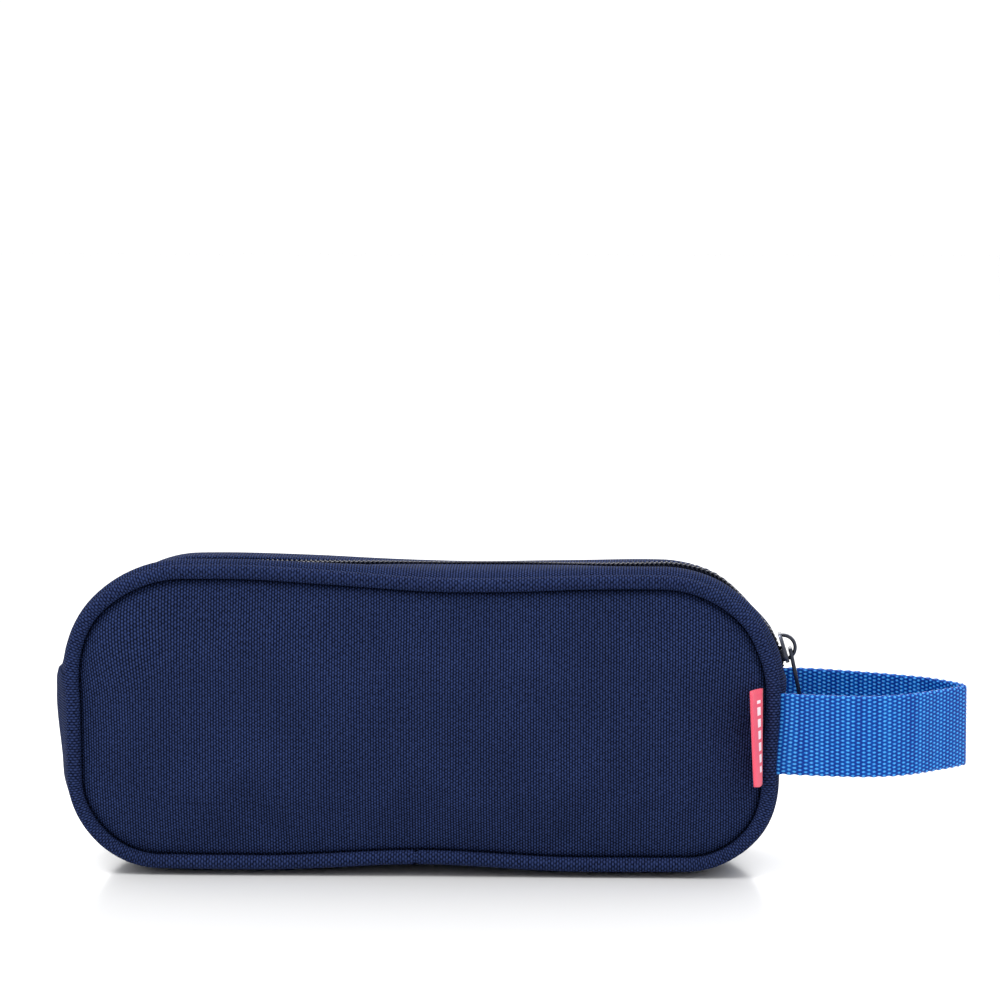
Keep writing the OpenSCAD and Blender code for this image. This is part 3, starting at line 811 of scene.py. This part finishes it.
def makeCoil(name, sign, offset):
    # one turn of the coil is a flattened ring of wire, and every turn along the zip is a copy of it, leaning a
    # little along the chain; the two sides stand half a pitch apart, so that their heads lie between each other
    wire, rounds, sides = zipper["wire"], 10, 5
    mid, half = (zipper["inner"] + zipper["reach"]) / 2, (zipper["reach"] - zipper["inner"]) / 2 - wire
    centre, rise = (zipper["high"] + zipper["low"]) / 2, (zipper["high"] - zipper["low"]) / 2 - wire
    turnPoints = []
    for k in range(rounds):
        c, w = math.cos(2 * math.pi * k / rounds), math.sin(2 * math.pi * k / rounds)
        turnPoints.append((centre + rise * math.copysign(abs(w) ** 0.75, w),
                           mid + half * math.copysign(abs(c) ** 0.7, c)))
    pitch = zipper["pitch"] * 0.001
    points, faces = [], []
    for n in range(int((foldLeft - foldRight - 0.004) / pitch)):
        s = foldRight + 0.002 + (n + offset) * pitch
        start = len(points)
        for k, (u, v) in enumerate(turnPoints):
            before, after = turnPoints[k - 1], turnPoints[(k + 1) % rounds]
            du, dv = after[0] - before[0], after[1] - before[1]
            size = math.hypot(du, dv)
            nu, nv = dv / size, -du / size
            lean = zipper["slant"] * (u - centre) / rise * 0.5 + 0.25 * (v - mid) / half
            for q in range(sides):
                off, along = wire * math.cos(2 * math.pi * q / sides), wire * math.sin(2 * math.pi * q / sides)
                points.append(settle(place(s + (lean + along) * 0.001, u + nu * off, sign * (v + nv * off))))
        for k in range(rounds):
            a, b = start + k * sides, start + (k + 1) % rounds * sides
            for q in range(sides):
                n1 = (q + 1) % sides
                faces.append((a + q, b + q, b + n1, a + n1)[::sign])
    return makeObject(name, points, faces, None, coilNylon)


fit(makeCoil("frontZipCoil", 1, 0.0), "front", "zip_coil", "front_zip_coil")
fit(makeCoil("backZipCoil", -1, 0.5), "case", "zip_coil", "back_zip_coil")
print("zip made")


def faceOutwards(piece):
    shell = bmesh.new()
    shell.from_mesh(piece.data)
    bmesh.ops.recalc_face_normals(shell, faces=shell.faces)
    shell.to_mesh(piece.data)
    shell.free()


topstitch = {"start": 0.0035, "spacing": 0.0031, "short": 0.006, "u": 0.12, "v": 11.3, "long": 2.5,
             "thick": 0.42, "dip": 0.28}


def stitchRow(name, sign, mat):
    # lockstitches: each one a small rounded length of thread that sinks into the cloth at both ends
    count = int((foldLeft - foldRight - topstitch["short"]) / topstitch["spacing"])
    points, faces, uvs = [], [], []
    for n in range(count):
        s = foldRight + topstitch["start"] + topstitch["spacing"] * n
        start = len(points)
        for k in range(7):
            t = k / 6
            full = math.sin(math.pi * t) ** 0.5
            u = topstitch["u"] - topstitch["dip"] * (1 - full)
            size = topstitch["thick"] / 2 * (0.35 + 0.65 * full)
            for q in range(6):
                angle = 2 * math.pi * q / 6
                spot = place(s + (t - 0.5) * topstitch["long"] * 0.001, u + size * 0.8 * math.cos(angle),
                             topstitch["v"] * sign + size * math.sin(angle))
                points.append(settle(spot))
        for k in range(6):
            for q in range(6):
                a, b = start + k * 6, start + (k + 1) * 6
                faces.append((a + q, b + q, b + (q + 1) % 6, a + (q + 1) % 6))
                uvs += [(0.0004 * k, 0.0002 * q)] * 4
        faces += [tuple(start + q for q in range(6)), tuple(start + 36 + q for q in range(5, -1, -1))]
        uvs += [(0, 0)] * 12
    piece = makeObject(name, points, faces, uvs, mat)
    faceOutwards(piece)
    return piece


for side, sign in (("front", 1), ("back", -1)):
    row = stitchRow(side + "Topstitch", sign, threadCloth)
    rideOn(row, "front" if sign > 0 else "case")
print("topstitching made")

# wrist strap: polypropylene webbing folded double, its two ends sewn into the side seams
strap = {"width": 25.0, "thick": 1.6, "mid": 44.172, "root": 109.4, "reach": 57.6, "depth": 27.0,
         "relief": 0.16, "grid": 0.4, "lift": 0.6, "edge": 0.9, "scallop": 0.14,
         "plan": [(-0.03, -0.97), (0, -1), (0.22, -1.12), (0.47, -1.18), (0.68, -1.02), (0.86, -0.66),
                  (0.97, -0.40), (1, -0.28), (0.97, -0.12), (0.88, 0.13), (0.75, 0.37), (0.47, 0.7),
                  (0.22, 0.93), (0, 1), (-0.03, 1.01)]}


def strapPath():
    # the loop seen from above: a smooth curve through the plan's points, then evenly spaced stops along it
    plan = [(strap["root"] + strap["reach"] * f, strap["depth"] * g) for f, g in strap["plan"]]
    fine = []
    for i in range(len(plan) - 1):
        a, b, c, d = (np.array(plan[min(max(i + k, 0), len(plan) - 1)]) for k in (-1, 0, 1, 2))
        for t in np.linspace(0, 1, 24, endpoint=False):
            bend = (2 * a - 5 * b + 4 * c - d) * t * t + (3 * b - a - 3 * c + d) * t ** 3
            fine.append(0.5 * (2 * b + (c - a) * t + bend))
    fine.append(np.array(plan[-1]))
    fine = np.array(fine)
    run = np.concatenate([[0], np.cumsum(np.linalg.norm(np.diff(fine, axis=0), axis=1))])
    stops = np.linspace(0, run[-1], round(run[-1] / strap["grid"]) + 1)
    return np.stack([np.interp(stops, run, fine[:, 0]), np.interp(stops, run, fine[:, 1])], axis=1), stops


def makeStrap():
    path, stops = strapPath()
    tangent = np.gradient(path, axis=0)
    tangent /= np.linalg.norm(tangent, axis=1, keepdims=True)
    normal = np.stack([tangent[:, 1], -tangent[:, 0]], axis=1)
    rows = round(strap["width"] / strap["grid"])
    heights = np.linspace(-strap["width"] / 2, strap["width"] / 2, rows + 1)
    section = [(h, 1) for h in heights] + [(h, -1) for h in heights[::-1]]
    columns, ridge = webLook["columns"], webLook["ridge"]
    points, faces, uvs = [], [], []
    for (x, y), (nx, ny), m in zip(path, normal, stops):
        turn = 2 * math.pi * m / columns
        for h, face in section:
            # the selvedge is rounded and gently scalloped, and each yarn stands up from the webbing's face
            edge = min(1.0, (strap["width"] / 2 - abs(h)) / strap["edge"])
            half = strap["thick"] / 2 * (0.35 + 0.65 * math.sqrt(max(0.0, 1 - (1 - edge) ** 2)))
            crown = math.cos(turn) * math.cos(2 * math.pi * h / webLook["rows"]) * face + ridge * math.cos(2 * turn)
            half += strap["relief"] * crown / (1 + ridge) * edge
            out = h + (math.copysign(strap["scallop"], h) * math.cos(turn) if edge < 0.5 else 0.0)
            hang = (strap["mid"] + out + strap["lift"]) * 0.001
            root = settle((0.1105, y * 0.001, hang))[0] - 0.1105
            points.append(((x + nx * half * face) * 0.001 + root * ramp(0.122, 0.111, x * 0.001),
                           (y + ny * half * face) * 0.001, hang))
    size = len(section)
    for i in range(len(path) - 1):
        for j in range(size):
            n = (j + 1) % size
            faces.append((i * size + j, i * size + n, (i + 1) * size + n, (i + 1) * size + j))
            m0, m1, h0, h1 = [0.001 * value for value in (stops[i], stops[i + 1], section[j][0],
                                                          section[n][0])]
            shift = 0.0 if section[j][1] > 0 else columns * 0.0005
            uvs += [(m0 + shift, h0), (m0 + shift, h1), (m1 + shift, h1), (m1 + shift, h0)]
    last = (len(path) - 1) * size
    for corners in (tuple(range(size - 1, -1, -1)), tuple(range(last, last + size))):
        faces.append(corners)
        uvs += [(0.0, 0.0)] * size
    return makeObject("wristStrap", points, faces, uvs, webbing)


wristStrap = makeStrap()
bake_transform(wristStrap)
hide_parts("wrist_strap", "strap_end_front", "strap_end_back")
print("strap made")

# side label: a woven ribbon folded double, its two ends caught in the front seam
tab = {"root": (104.0, -30.6), "low": 29.7, "high": 59.3, "width": 10.0, "cloth": 0.38, "gap": 0.12,
       "angle": 73.0, "twist": 7, "fold": 0.94, "rows": 24, "columns": 14, "bow": 0.45, "corner": 0.06}


def labelPath():
    # the ribbon's own length: out along one leaf, round the fold and back along the other
    path, fold = [], tab["fold"]
    for k in range(2 * tab["columns"] + 1):
        t = k / tab["columns"] - 1
        reach = 1 - abs(t)
        side = 1.0 if reach < fold else math.sqrt(max(0.0, 1 - ((reach - fold) / (1 - fold)) ** 2))
        path.append((reach, math.copysign(side, t) if t else 0.0, t + 1))
    return path


def makeLabel():
    points, faces, uvs, spots = [], [], [], []
    path = labelPath()
    rows, height = tab["rows"], tab["high"] - tab["low"]
    for r in range(rows + 1):
        t = r / rows
        z = tab["low"] + height * t
        angle = math.radians(tab["angle"] + tab["twist"] * (0.5 - t))
        width = tab["width"] * (1 - tab["corner"] * (1 - t) ** 5)
        ahead = np.array((-math.cos(angle), -math.sin(angle)))
        aside = np.array((-ahead[1], ahead[0]))
        for layer, run in ((1, path), (0, path[::-1])):
            spread = tab["gap"] / 2 + tab["cloth"] * layer
            for reach, leaf, own in run:
                short = 0.0 if layer else tab["cloth"] * ramp(0.8, 1.0, reach)
                bow = tab["bow"] * math.sin(math.pi * reach) * math.cos(2.4 * t + 0.4)
                spot = np.array(tab["root"]) + ahead * (reach * width - short) + aside * (leaf * spread + bow)
                lift = 0.5 * reach * (t - 0.4) + 0.8 * reach ** 3 * (1 - t) ** 12
                points.append((spot[0] * 0.001, spot[1] * 0.001, (z + lift) * 0.001))
                spots.append((min(own, 2 - own) * tab["width"] * 0.001, t * 0.0295))
    size = 2 * len(path)
    for r in range(rows):
        for j in range(size):
            n = (j + 1) % size
            faces.append((r * size + j, r * size + n, (r + 1) * size + n, (r + 1) * size + j))
    for start in (0, rows * size):
        for j in range(len(path) - 1):
            faces.append((start + j, start + j + 1, start + size - 2 - j, start + size - 1 - j))
    for face in faces:
        uvs += [spots[k] for k in face]
    piece = makeObject("sideLabel", points, faces, uvs, coralLabel)
    faceOutwards(piece)
    return piece


sideLabel = makeLabel()
fit(sideLabel, "label", "label_cloth", "side_label")
print("label made")


# slider, crown and puller: the castings' edges are broken and their faces smoothed
def softenCasting(name, node, body, radius):
    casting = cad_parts[node]
    piece = casting.copy()
    piece.data = casting.data.copy()
    piece.name = name
    piece.parent = None
    bpy.context.scene.collection.objects.link(piece)
    shell = bmesh.new()
    shell.from_mesh(piece.data)
    bmesh.ops.remove_doubles(shell, verts=shell.verts, dist=0.00001)
    bmesh.ops.dissolve_limit(shell, angle_limit=math.radians(1.0), verts=shell.verts, edges=shell.edges)
    shell.to_mesh(piece.data)
    shell.free()
    piece.data.materials.clear()
    piece.data.materials.append(gunmetal)
    bevel = piece.modifiers.new("edges", "BEVEL")
    bevel.width, bevel.segments = radius * 0.001, 2
    bevel.limit_method, bevel.angle_limit = "ANGLE", math.radians(32)
    bevel.use_clamp_overlap = True
    applyModifiers(piece)
    bpy.ops.object.select_all(action="DESELECT")
    piece.select_set(True)
    bpy.context.view_layer.objects.active = piece
    bpy.ops.object.shade_smooth_by_angle(angle=math.radians(35))
    piece.select_set(False)
    for key in list(piece.keys()):
        del piece[key]
    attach(piece, body)
    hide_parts(node)
    return piece


softenCasting("sliderBody", "slider_body", "zip_slider", 0.25)
softenCasting("sliderCrown", "slider_crown", "zip_slider", 0.3)
softenCasting("zipPuller", "zip_puller", "puller", 0.22)
for node in ("end_stitch_left", "end_stitch_right"):
    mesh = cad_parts[node].data
    for k in range(len(mesh.materials)):
        mesh.materials[k] = barTack
print("slider and puller finished")
